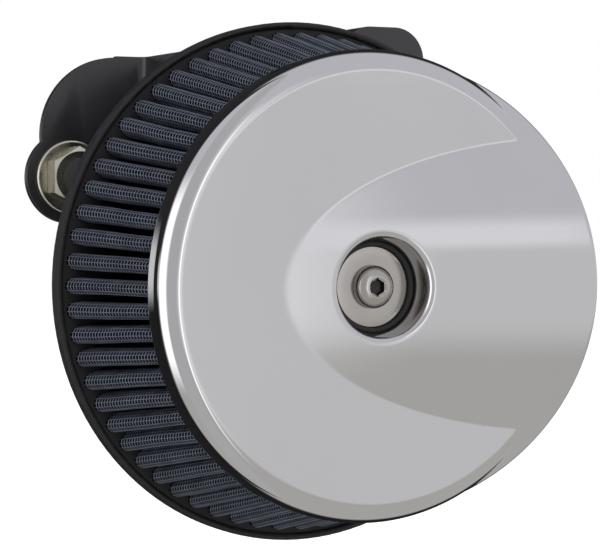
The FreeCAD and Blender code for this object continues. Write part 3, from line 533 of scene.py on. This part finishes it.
class CoverOperator(bpy.types.Operator):
    """Make the chromed cover with its raised shield and screw well."""
    bl_idname = "air_cleaner.cover"
    bl_label = "Cover"

    def execute(self, context):
        cover = context.scene.air_cleaner_cover
        wall, edge = cover.wall, cover.edge_round
        throat = WELL_FLOOR + cover.well_straight
        mouth = shield_station(cover, 0.0, 0.0)
        rim = cover.well_neck + cover.well_round
        shoulder = cover.radius - edge
        stretch_from = STRETCH_SHARE * cover.radius
        lip = wall / 2
        well = [(cover.screw_hole, WELL_FLOOR)]
        floor_edge, wall_foot = cover.well_radius - cover.floor_round, WELL_FLOOR + cover.floor_round
        well += [(radius, WELL_FLOOR) for radius in span(cover.screw_hole, floor_edge, 5)]
        well += arc((floor_edge, wall_foot), cover.floor_round, -90, 0, 4)
        well += [(cover.well_radius, station) for station in span(wall_foot, throat, 3)]
        well += [(cover.well_radius, throat)]
        flare_end = mouth - cover.well_round
        well += [(cover.well_radius + (cover.well_neck - cover.well_radius) * share,
                  throat + (flare_end - throat) * share) for share in span(0.0, 1.0, 3)]
        well += arc((rim, flare_end), cover.well_round, 180, 90, 10)
        face = [(radius, cover.face) for radius in span(rim, stretch_from, 64)]
        face += [(radius, cover.face) for radius in span(stretch_from, shoulder, 22)]
        side = arc((shoulder, cover.face - edge), edge, 90, 0, 26)
        side += [(cover.radius, station) for station in span(cover.face - edge, COVER_LIP + lip, 4)]
        side += arc((cover.radius - lip, COVER_LIP + lip), lip, 0, -180, 10)
        inside = [(cover.radius - wall, station) for station in span(COVER_LIP + lip, cover.face - edge, 2)]
        inside += arc((shoulder, cover.face - edge), edge - wall, 0, 90, 8)
        inside += [(radius, cover.face - wall) for radius in span(shoulder, rim + wall, 12)]
        cup = [(cover.well_radius + wall, throat), (cover.well_radius + wall, WELL_REAR),
               (cover.screw_hole, WELL_REAR)]
        shape = turned(well + face + side + inside + cup, COVER_STEPS)
        for vertex in shape.verts:
            radius, station = math.hypot(vertex.co.x, vertex.co.z), -vertex.co.y
            angle = math.atan2(vertex.co.z, vertex.co.x)
            if radius < rim + ROUND_OFF:
                share = min(max((station - throat) / (mouth - throat), 0.0), 1.0)
                station += (cover_station(cover, rim, angle) - mouth) * share
            else:
                radius, station = self.pressed(cover, radius, station, angle, stretch_from)
            vertex.co = (radius * math.cos(angle), -station, radius * math.sin(angle))
        bmesh.ops.recalc_face_normals(shape, faces=shape.faces)
        piece("chromed_cover", shape, "chrome_plate", ["cover"], 60.0)
        return {"FINISHED"}

    def pressed(self, cover, radius, station, angle, stretch_from):
        """Place of a point of the plain pan after the shield is pressed into it."""
        edge = cover.edge_round
        shoulder, spring = cover.radius - edge, cover.face - edge
        reach = outline_reach(cover, angle)
        stretch = (reach - stretch_from) / (cover.radius - stretch_from)
        if station < spring:
            rim_station = cover_station(cover, reach - TINY, angle)
            share = (station - COVER_LIP) / (spring - COVER_LIP)
            return reach - (cover.radius - radius), COVER_LIP + (rim_station - COVER_LIP) * share
        if radius > shoulder:
            bend = math.atan2(radius - shoulder, station - spring)
            depth = edge - math.hypot(radius - shoulder, station - spring)
            flat = shoulder + edge * math.sin(bend)
        else:
            bend, depth, flat = 0.0, cover.face - station, radius
        outer = flat if flat < stretch_from else stretch_from + (flat - stretch_from) * stretch
        height = cover_station(cover, min(outer, reach - TINY), angle)
        return outer - depth * math.sin(bend), height - depth * math.cos(bend)


# Screw, washer and seal in the well

HEX_STEPS = 96
SCREW_ROWS, BOLT_ROWS = 60, 180
THREAD_GROOVE = 0.55
SOCKET_DEPTH, DOME_RISE = 0.62, 0.78
SOCKET_MOUTH, SOCKET_POINT_WIDTH = 1.12, 0.3
SOCKET_CHAMFER, SOCKET_SHADE, SOCKET_POINT = 0.45 * MM, 0.4 * MM, 0.5 * MM
HEAD_ROUND = 0.25 * MM
CHAMFER_CIRCLE, CHAMFER_SLOPE = 0.96, math.tan(math.radians(30))


def hex_reach(flats, angle):
    """Distance from the middle to the outline of a hexagon in a direction."""
    sixth = math.pi / 3
    return flats / 2 / math.cos((angle + sixth / 2) % sixth - sixth / 2)


def moved_to(shape, x, z):
    """Move a turned mesh to a line beside the main axis."""
    bmesh.ops.translate(shape, verts=shape.verts, vec=(x, 0, z))
    return shape


def washer_profile(inner, outer, rear, front, easing):
    """Section of a flat ring with eased edges."""
    return (arc((outer - easing, rear + easing), easing, -90, 0, 4)
            + arc((outer - easing, front - easing), easing, 0, 90, 4)
            + arc((inner + easing, front - easing), easing, 90, 180, 4)
            + arc((inner + easing, rear + easing), easing, 180, 270, 4))


def ring_piece(name, node, inner, finish, easing, steps=160):
    """Make a turned ring in the place of a CAD ring."""
    rear, front = station_of(node)
    shape = turned(washer_profile(inner, radius_of(node), rear, front, easing), steps)
    return piece(name, moved_to(shape, *centre_of(node)), finish, [node], 50.0)


class FasteningOperator(bpy.types.Operator):
    """Make the polished washer, rubber ring and button screw in the well."""
    bl_idname = "air_cleaner.fastening"
    bl_label = "Cover fastening"

    def execute(self, context):
        fasteners = context.scene.air_cleaner_fasteners
        hole = context.scene.air_cleaner_cover.screw_hole
        ring_piece("polished_washer", "cover_washer", hole, "lathe_steel", easing=0.35 * MM)
        seal_inner = radius_of("cover_washer") + fasteners.press
        ring_piece("well_seal", "cover_seal", seal_inner, "black_rubber", easing=0.6 * MM)
        self.button_screw(fasteners)
        return {"FINISHED"}

    def button_screw(self, fasteners):
        """Domed head with a chamfered hexagon socket on a threaded shank."""
        tip, top = station_of("cover_screw")
        seat = station_of("cover_washer")[1]
        head, shank, flats = radius_of("cover_screw"), fasteners.screw_shank, fasteners.screw_socket
        height = top - seat
        bottom = top - SOCKET_DEPTH * height
        corner = flats / math.sqrt(3)
        crown = corner * SOCKET_MOUTH
        profile = [(0.0, bottom - SOCKET_POINT), (flats * SOCKET_POINT_WIDTH, bottom), (flats / 2, bottom)]
        profile += [(flats / 2, top - SOCKET_CHAMFER), (crown, top)]
        rise = height * DOME_RISE
        side = top - rise
        for share in span(0.0, 1.0, 12):
            bend = share * math.pi / 2
            profile.append((crown + (head - crown) * math.sin(bend), side + rise * math.cos(bend)))
        profile += [(head, side)]
        profile += arc((head - HEAD_ROUND, seat + HEAD_ROUND), HEAD_ROUND, 0, -90, 3)
        profile += [(shank, seat)] + [(shank, station) for station in span(seat, tip, SCREW_ROWS)]
        profile += [(shank, tip), (0.0, tip)]
        shape = turned(profile, HEX_STEPS, closed=False)
        for vertex in shape.verts:
            radius, station = math.hypot(vertex.co.x, vertex.co.z), -vertex.co.y
            angle = math.atan2(vertex.co.z, vertex.co.x)
            if abs(radius - flats / 2) < TINY and station > seat:
                radius = hex_reach(flats, angle)
            elif abs(radius - shank) < TINY and tip < station < seat:
                radius -= thread_depth(station, angle, fasteners.screw_pitch)
            vertex.co = (radius * math.cos(angle), -station, radius * math.sin(angle))
        # Painted shade: faces inside the socket, below its mouth, take a dark copy of the steel for the shade
        # that falls in there.
        for face in shape.faces:
            middle = face.calc_center_median()
            painted_shade_in_socket = math.hypot(middle.x, middle.z) < corner and seat < -middle.y < top - SOCKET_SHADE
            face.material_index = int(painted_shade_in_socket)
        made = piece("button_screw", shape, "lathe_steel", ["cover_screw"], 30.0)
        made.data.materials.append(finish_named("socket_painted_shade"))


def thread_depth(station, angle, pitch):
    """How far a thread groove goes in at a station and direction."""
    turn = (station / pitch + angle / FULL_TURN) % 1.0
    return THREAD_GROOVE * pitch * (1 - abs(2 * turn - 1))


# Filter

GAUZE_ROWS, FLANK_ROWS = 8, 5
TIP_FACETS, VALLEY_FACETS = 6, 3
WIRE_STEPS, WIRE_BENDS = 8, 3
COTTON_SHARE = 0.6
FOLD_WELD = 0.02 * MM
FILTER_FINISHES = {
    "filter_base": "moulded_urethane",
    "filter_top_ring": "moulded_urethane",
    "filter_end_plate": "zinc_plate",
    "filter_grommet": "black_rubber",
    "filter_nut_washer": "zinc_plate",
    "filter_nut": "zinc_plate",
    "center_post": "turned_aluminium",
    "post_spider": "turned_aluminium",
    "throttle_body_screws": "zinc_plate",
    "throttle_body_gasket": "fibre_sheet",
}


def fold_section(pleats):
    """Tip centre, valley centre and end angle of the tip's round, of a fold at the rear."""
    half = math.pi / pleats.count
    tip = Vector((pleats.tip_rear - pleats.tip_round, 0.0))
    inner = pleats.tip_rear - pleats.depth + pleats.sheet + pleats.valley_round
    valley = Vector((inner * math.cos(half), inner * math.sin(half)))
    between = valley - tip
    lean = math.asin((pleats.tip_round + pleats.valley_round) / between.length)
    return tip, valley, math.atan2(between.y, between.x) + lean - math.pi / 2


def sway_folds(pleats, shape):
    """Lean and bow each fold a little, as folds set by hand do."""
    step = FULL_TURN / pleats.count
    for vertex in shape.verts:
        along = (-vertex.co.y - MEDIA_REAR) / (MEDIA_FRONT - MEDIA_REAR)
        fold_number = round(math.atan2(vertex.co.z, vertex.co.x) / step)
        lean = noise.noise(Vector((fold_number * 3.7, along * 1.3, 0.5)))
        bow = math.sin(math.pi * along) * noise.noise(Vector((fold_number * 5.1, 9.0, along * 2.0)))
        turn = (lean * 0.6 + bow) * pleats.sway / pleats.tip_rear
        vertex.co = Matrix.Rotation(-turn, 3, "Y") @ vertex.co


def repeat_folds(pleats, shape):
    """Repeat one fold round the main axis."""
    whole = shape.verts[:] + shape.edges[:] + shape.faces[:]
    bmesh.ops.spin(shape, geom=whole, cent=(0, 0, 0), axis=MAIN_AXIS,
                   angle=FULL_TURN * (1 - 1 / pleats.count), steps=pleats.count - 1, use_duplicate=True)


class PleatsOperator(bpy.types.Operator):
    """Make the pleated gauze as one folded sheet with its wire mesh."""
    bl_idname = "air_cleaner.pleats"
    bl_label = "Pleated gauze"

    def execute(self, context):
        pleats = context.scene.air_cleaner_pleats
        self.gauze(pleats)
        self.mesh(context, pleats)
        return {"FINISHED"}

    def gauze(self, pleats):
        """Folded sheet of oiled cotton."""
        shape = bmesh.new()
        points = [shape.verts.new((x, -MEDIA_REAR, z)) for x, z in self.fold_points(pleats)]
        edges = [shape.edges.new(pair) for pair in zip(points, points[1:])]
        taper = pleats.tip_front / pleats.tip_rear
        for row in range(GAUZE_ROWS):
            made = bmesh.ops.extrude_edge_only(shape, edges=edges)["geom"]
            edges = [item for item in made if isinstance(item, bmesh.types.BMEdge)]
            verts = [item for item in made if isinstance(item, bmesh.types.BMVert)]
            before = 1 + (taper - 1) * row / GAUZE_ROWS
            after = 1 + (taper - 1) * (row + 1) / GAUZE_ROWS
            bmesh.ops.scale(shape, verts=verts, vec=(after / before, 1, after / before))
            bmesh.ops.translate(shape, verts=verts, vec=(0, -(MEDIA_FRONT - MEDIA_REAR) / GAUZE_ROWS, 0))
        repeat_folds(pleats, shape)
        bmesh.ops.remove_doubles(shape, verts=shape.verts, dist=FOLD_WELD)
        sway_folds(pleats, shape)
        bmesh.ops.recalc_face_normals(shape, faces=shape.faces)
        made = piece("pleated_gauze", shape, "oiled_gauze", ["filter_media"], 60.0)
        thick = made.modifiers.new("Sheet", "SOLIDIFY")
        thick.thickness = pleats.sheet * COTTON_SHARE
        thick.offset = -1.0

    def fold_points(self, pleats):
        """Outline of one fold at the rear, from valley to valley, as (x, z) points."""
        tip, valley, facing = fold_section(pleats)
        half = math.pi / pleats.count
        side = []
        for step in range(TIP_FACETS + 1):
            angle = facing * step / TIP_FACETS
            side.append(tip + pleats.tip_round * Vector((math.cos(angle), math.sin(angle))))
        flank_end = valley - pleats.valley_round * Vector((math.cos(facing), math.sin(facing)))
        side += [side[-1].lerp(flank_end, share) for share in span(0.0, 1.0, FLANK_ROWS)]
        for step in range(VALLEY_FACETS + 1):
            angle = facing + math.pi + (half - facing) * step / VALLEY_FACETS
            side.append(valley + pleats.valley_round * Vector((math.cos(angle), math.sin(angle))))
        mirrored = [(point.x, -point.y) for point in reversed(side[1:])]
        return mirrored + [(point.x, point.y) for point in side]

    def mesh(self, context, pleats):
        """Wires along and across the outside of each fold."""
        bend = pleats.tip_round * fold_section(pleats)[2]
        reach = bend + pleats.mesh_depth
        round_tip = [bend * step / WIRE_BENDS for step in range(-WIRE_BENDS, WIRE_BENDS + 1)]
        girths = [-reach] + round_tip + [reach]
        along_wires = int(reach / pleats.mesh_pitch)
        depth = MEDIA_FRONT - MEDIA_REAR
        cross_wires = int(depth / pleats.mesh_pitch)
        paths = []
        for number in range(-along_wires, along_wires + 1):
            girth = number * pleats.mesh_pitch
            shares = [step / WIRE_STEPS for step in range(WIRE_STEPS + 1)]
            paths.append([self.wire_point(pleats, girth, share, 0.0) for share in shares])
        for number in range(1, cross_wires):
            share = number * pleats.mesh_pitch / depth
            paths.append([self.wire_point(pleats, girth, share, pleats.wire_radius) for girth in girths])
        data = bpy.data.curves.new("wires", "CURVE")
        data.dimensions = "3D"
        data.bevel_depth, data.bevel_resolution = pleats.wire_radius, 0
        data.use_fill_caps = True
        for path in paths:
            spline = data.splines.new("POLY")
            spline.points.add(len(path) - 1)
            for point, place in zip(spline.points, path):
                point.co = (*place, 1.0)
        drawn = bpy.data.objects.new("wires", data)
        context.scene.collection.objects.link(drawn)
        tubes = drawn.to_mesh()
        shape = bmesh.new()
        shape.from_mesh(tubes)
        drawn.to_mesh_clear()
        bpy.data.objects.remove(drawn)
        bpy.data.curves.remove(data)
        repeat_folds(pleats, shape)
        sway_folds(pleats, shape)
        bmesh.ops.recalc_face_normals(shape, faces=shape.faces)
        piece("wire_mesh", shape, "coated_wire", ["filter_media"], 80.0)

    def wire_point(self, pleats, girth, share, lift):
        """Place on the outside of a fold, by the way round its tip and the share of its length."""
        tip, _, facing = fold_section(pleats)
        past = max(abs(girth) - pleats.tip_round * facing, 0.0)
        angle = min(abs(girth) / pleats.tip_round, facing)
        outward = Vector((math.cos(angle), math.sin(angle)))
        flank = Vector((-math.sin(angle), math.cos(angle)))
        place = tip + outward * (pleats.tip_round + lift) + flank * past
        scale = 1 + (pleats.tip_front / pleats.tip_rear - 1) * share
        side = math.copysign(1.0, girth)
        station = MEDIA_REAR + (MEDIA_FRONT - MEDIA_REAR) * share
        return place.x * scale, -station, place.y * side * scale


class FilterFrameOperator(bpy.types.Operator):
    """Finish the moulded ends of the filter and what holds it on the post."""
    bl_idname = "air_cleaner.filter_frame"
    bl_label = "Filter frame"

    def execute(self, context):
        for node, finish in FILTER_FINISHES.items():
            dress(node, finish)
        return {"FINISHED"}


# Backplate, bracket and breathers

class BackplateOperator(bpy.types.Operator):
    """Make the cast backplate with eased edges."""
    bl_idname = "air_cleaner.backplate"
    bl_label = "Backplate"

    def execute(self, context):
        piece("cast_backplate", eased_copy("backplate", 0.5 * MM), "powder_coat", ["backplate"])
        return {"FINISHED"}


class BracketOperator(bpy.types.Operator):
    """Make the folded bracket with eased sheet edges, and its screws."""
    bl_idname = "air_cleaner.bracket"
    bl_label = "Bracket"

    def execute(self, context):
        shape = eased_copy("support_bracket", 0.55 * MM, 3)
        piece("folded_bracket", shape, "powder_coat", ["support_bracket"])
        dress("bracket_screws", "zinc_plate")
        return {"FINISHED"}


class BreathersOperator(bpy.types.Operator):
    """Make the hollow bolts, washers, seals and hoses of the head breathers."""
    bl_idname = "air_cleaner.breathers"
    bl_label = "Head breathers"

    def execute(self, context):
        fasteners = context.scene.air_cleaner_fasteners
        hole = fasteners.bolt_thread + fasteners.slip
        for side in SIDES:
            washer, seal, hose = (f"breather_{kind}_{side}" for kind in ("washer", "seal", "hose"))
            self.hollow_bolt(fasteners, side, washer, seal, hose)
            hose_inner = radius_of(hose) - fasteners.hose_wall
            rings = (
                (f"tab_washer_{side}", washer, hole, "zinc_plate", "zinc_steel", 0.8 * MM),
                (f"head_seal_{side}", seal, hole, "black_rubber", "black_rubber", 0.3 * MM),
                (f"hose_{side}", hose, hose_inner, "black_rubber", "black_rubber", 0.5 * MM),
            )
            for name, node, inner, finish, slot, easing in rings:
                ring_piece(name, node, inner, finish, easing, HEX_STEPS)
            dress(f"breather_nipple_{side}", "zinc_plate")
        return {"FINISHED"}

    def hollow_bolt(self, fasteners, side, washer, seal, hose):
        """Hexagon bolt with chamfered corners, a waist, a threaded end, a bore and a hose barb."""
        bolt = f"breather_bolt_{side}"
        end, barb_end = station_of(bolt)
        head_rear, head_front = station_of(washer)[1], station_of(hose)[0]
        thread_end = station_of(seal)[0]
        shank, waist, chamfer = fasteners.bolt_thread, fasteners.bolt_waist, fasteners.bolt_chamfer
        flats, bore, barb = fasteners.bolt_flats, fasteners.bolt_bore, fasteners.bolt_barb
        circle = flats / 2 * CHAMFER_CIRCLE
        profile = [(bore, end), (shank - chamfer, end), (shank, end + chamfer)]
        profile += [(shank, station) for station in span(end + chamfer, thread_end, BOLT_ROWS)]
        profile += [(waist, thread_end), (waist, head_rear), (circle, head_rear), (flats / 2, head_rear)]
        profile += [(flats / 2, head_front), (circle, head_front)]
        profile += [(barb, head_front), (barb, barb_end), (bore, barb_end)]
        shape = turned(profile, HEX_STEPS)
        for vertex in shape.verts:
            radius, station = math.hypot(vertex.co.x, vertex.co.z), -vertex.co.y
            angle = math.atan2(vertex.co.z, vertex.co.x)
            if abs(radius - flats / 2) < TINY:
                radius = hex_reach(flats, angle)
                drop = (radius - circle) * CHAMFER_SLOPE
                station += drop if station < (head_rear + head_front) / 2 else -drop
            elif abs(radius - shank) < TINY and end + MM < station < thread_end:
                radius -= thread_depth(station, angle, fasteners.bolt_pitch)
            vertex.co = (radius * math.cos(angle), -station, radius * math.sin(angle))
        piece(f"hollow_{bolt}", moved_to(shape, *centre_of(bolt)), "zinc_plate", [bolt], 30.0)


# Stage

CAMERA_PLACE = (-0.33936, -0.69330, 0.02590)
CAMERA_AZIMUTH, CAMERA_ELEVATION = -26.67, 1.913
CAMERA_LENS, CAMERA_SENSOR = 132.0, 36.0
FLOOR_GLOW = 0.45
FLOOR_DROP = 30 * MM
FLOOR_RADIUS = 6.0


class StageOperator(bpy.types.Operator):
    """Make the floor, the light and the camera."""
    bl_idname = "air_cleaner.stage"
    bl_label = "Stage"

    def execute(self, context):
        light = context.scene.air_cleaner_light
        context.scene.view_settings.view_transform = "Standard"
        self.camera(context)
        self.floor(context, light)
        self.lamps(context, light)
        self.surroundings(context, light)
        return {"FINISHED"}

    def camera(self, context):
        """Camera where the photograph was taken from."""
        azimuth, elevation = math.radians(CAMERA_AZIMUTH), math.radians(CAMERA_ELEVATION)
        back = Vector((math.sin(azimuth) * math.cos(elevation), -math.cos(azimuth) * math.cos(elevation),
                       math.sin(elevation)))
        data = bpy.data.cameras.new("Camera")
        data.lens, data.sensor_width = CAMERA_LENS, CAMERA_SENSOR
        data.clip_start, data.clip_end = 0.01, 50.0
        camera = bpy.data.objects.new("Camera", data)
        camera.location = CAMERA_PLACE
        camera.rotation_mode = "QUATERNION"
        camera.rotation_quaternion = (-back).to_track_quat("-Z", "Y")
        context.scene.collection.objects.link(camera)
        context.scene.camera = camera

    def floor(self, context, light):
        """Pale round floor that takes the shadow and fades into the white surroundings."""
        shape = bmesh.new()
        bmesh.ops.create_circle(shape, cap_ends=True, segments=96, radius=FLOOR_RADIUS)
        bmesh.ops.translate(shape, verts=shape.verts, vec=(0, 0, CAD_BOX[0].z - FLOOR_DROP))
        mesh = bpy.data.meshes.new("floor")
        shape.to_mesh(mesh)
        shape.free()
        material = bpy.data.materials.new("floor")
        material.use_nodes = True
        tree = material.node_tree
        shader = tree.nodes["Principled BSDF"]
        shader.inputs["Base Color"].default_value = opaque(light.floor)
        shader.inputs["Roughness"].default_value = 1.0
        shader.inputs["Specular IOR Level"].default_value = 0.0
        path = add(tree, "ShaderNodeLightPath")
        seen = maths(tree, "MULTIPLY", path.outputs["Is Camera Ray"], FLOOR_GLOW)
        glow = add(tree, "ShaderNodeEmission", {"Strength": seen})
        both = add(tree, "ShaderNodeAddShader", {0: shader.outputs[0], 1: glow.outputs[0]})
        tree.links.new(both.outputs[0], tree.nodes["Material Output"].inputs["Surface"])
        mesh.materials.append(material)
        floor = bpy.data.objects.new("floor", mesh)
        floor.visible_glossy = False
        context.scene.collection.objects.link(floor)

    def lamps(self, context, light):
        """Soft lamps over the left shoulder and from the right."""
        places = (
            ("key", (-0.75, -0.85, 1.05), 0.9, light.key),
            ("right_fill", (0.9, -0.9, 0.5), 1.0, light.key * 0.45),
            ("rear", (-0.6, 0.9, 0.8), 0.7, light.key * 0.4),
        )
        for name, place, size, power in places:
            data = bpy.data.lights.new(name, "AREA")
            data.shape, data.size, data.energy = "DISK", size, power
            lamp = bpy.data.objects.new(name, data)
            lamp.location = place
            lamp.rotation_mode = "QUATERNION"
            lamp.rotation_quaternion = (-Vector(place)).to_track_quat("-Z", "Y")
            lamp.visible_glossy = False
            context.scene.collection.objects.link(lamp)

    def surroundings(self, context, light):
        """White room for the eye, and its soft boxes and dark gaps for polished metal."""
        world = bpy.data.worlds.new("surroundings")
        world.use_nodes = True
        context.scene.world = world
        tree = world.node_tree
        way = add(tree, "ShaderNodeSeparateXYZ", {0: add(tree, "ShaderNodeTexCoord").outputs["Generated"]})
        x, y, z = way.outputs
        left = maths(tree, "DEGREES", maths(tree, "ARCTAN2", maths(tree, "MULTIPLY", x, -1.0),
                                            maths(tree, "MULTIPLY", y, -1.0)))
        up = maths(tree, "DEGREES", maths(tree, "ARCSINE", z))

        def band(value, rise_start, rise_end, fall_start, fall_end):
            rising = ramp(tree, value, rise_start, rise_end)
            return maths(tree, "MULTIPLY", rising, ramp(tree, value, fall_start, fall_end, 1.0, 0.0))

        def box(sides, heights):
            return maths(tree, "MULTIPLY", band(left, *sides), band(up, *heights))

        room = mixed(tree, ramp(tree, up, -14.0, -7.5), (0.64, 0.625, 0.60, 1.0), (0.85, 0.85, 0.86, 1.0))
        room = mixed(tree, ramp(tree, up, 4.0, 10.0), room, (0.79, 0.785, 0.835, 1.0))
        room = mixed(tree, band(left, 2.0, 12.0, 52.0, 60.0), room, (0.66, 0.66, 0.67, 1.0))
        front_box = box((-26.2, -13.0, -3.0, 4.0), (-20.0, -4.0, 10.0, 30.0))
        room = mixed(tree, front_box, room, (1.2, 1.2, 1.24, 1.0))
        slit = box((-10.0, -6.5, -4.0, -1.0), (-34.0, -6.0, 6.0, 34.0))
        room = mixed(tree, slit, room, (2.0, 2.0, 2.0, 1.0))
        strip = box((-40.0, -32.0, -14.0, -6.0), (3.2, 5.0, 6.5, 9.5))
        room = mixed(tree, strip, room, (1.12, 1.12, 1.16, 1.0))
        left_box = box((58.0, 66.0, 98.0, 108.0), (-40.0, -24.0, 24.0, 44.0))
        room = mixed(tree, left_box, room, (1.9, 1.9, 1.95, 1.0))
        gap = band(left, 112.0, 118.0, 144.0, 150.0)
        room = mixed(tree, gap, room, (0.03, 0.03, 0.03, 1.0))
        behind = ramp(tree, y, 0.15, 0.4)
        low_behind = maths(tree, "MULTIPLY", behind, ramp(tree, up, -7.0, 0.0, 1.0, 0.0))
        room = mixed(tree, low_behind, room, (0.02, 0.02, 0.02, 1.0))
        high_behind = maths(tree, "MULTIPLY", behind, ramp(tree, up, 5.0, 13.0))
        room = mixed(tree, high_behind, room, (0.03, 0.03, 0.032, 1.0))
        path = add(tree, "ShaderNodeLightPath")
        fill = (light.fill, light.fill, light.fill, 1.0)
        seen = mixed(tree, path.outputs["Is Glossy Ray"], fill, room)
        seen = mixed(tree, path.outputs["Is Camera Ray"], seen, (1.0, 1.0, 1.0, 1.0))
        seen = mixed(tree, path.outputs["Is Transmission Ray"], seen, (1.0, 1.0, 1.0, 1.0))
        tree.links.new(seen, tree.nodes["Background"].inputs["Color"])


OPERATORS = (CoverOperator, FasteningOperator, PleatsOperator, FilterFrameOperator, BackplateOperator,
             BracketOperator, BreathersOperator, StageOperator)


class AirCleanerPanel(bpy.types.Panel):
    """Lists the pieces of the air cleaner."""
    bl_idname = "VIEW3D_PT_air_cleaner"
    bl_label = "Air cleaner"
    bl_space_type = "VIEW_3D"
    bl_region_type = "UI"
    bl_category = "Air cleaner"

    def draw(self, context):
        for operator in OPERATORS:
            self.layout.operator(operator.bl_idname)
        for name in SETTINGS:
            settings = getattr(context.scene, name)
            for key in settings.__annotations__:
                self.layout.prop(settings, key)


SETTINGS = {
    "air_cleaner_cover": CoverShape,
    "air_cleaner_pleats": PleatShape,
    "air_cleaner_fasteners": FastenerShape,
    "air_cleaner_colours": FinishColours,
    "air_cleaner_light": StudioLight,
}
CLASSES = tuple(SETTINGS.values()) + OPERATORS + (AirCleanerPanel,)


def register():
    for item in CLASSES:
        bpy.utils.register_class(item)
    for name, kind in SETTINGS.items():
        setattr(bpy.types.Scene, name, PointerProperty(type=kind))


def unregister():
    for name in SETTINGS:
        delattr(bpy.types.Scene, name)
    for item in reversed(CLASSES):
        bpy.utils.unregister_class(item)


def main():
    """Make every piece in order."""
    register()
    bpy.ops.air_cleaner.cover()
    bpy.ops.air_cleaner.fastening()
    bpy.ops.air_cleaner.pleats()
    bpy.ops.air_cleaner.filter_frame()
    bpy.ops.air_cleaner.backplate()
    bpy.ops.air_cleaner.bracket()
    bpy.ops.air_cleaner.breathers()
    bpy.ops.air_cleaner.stage()


if __name__ == "__main__":
    main()
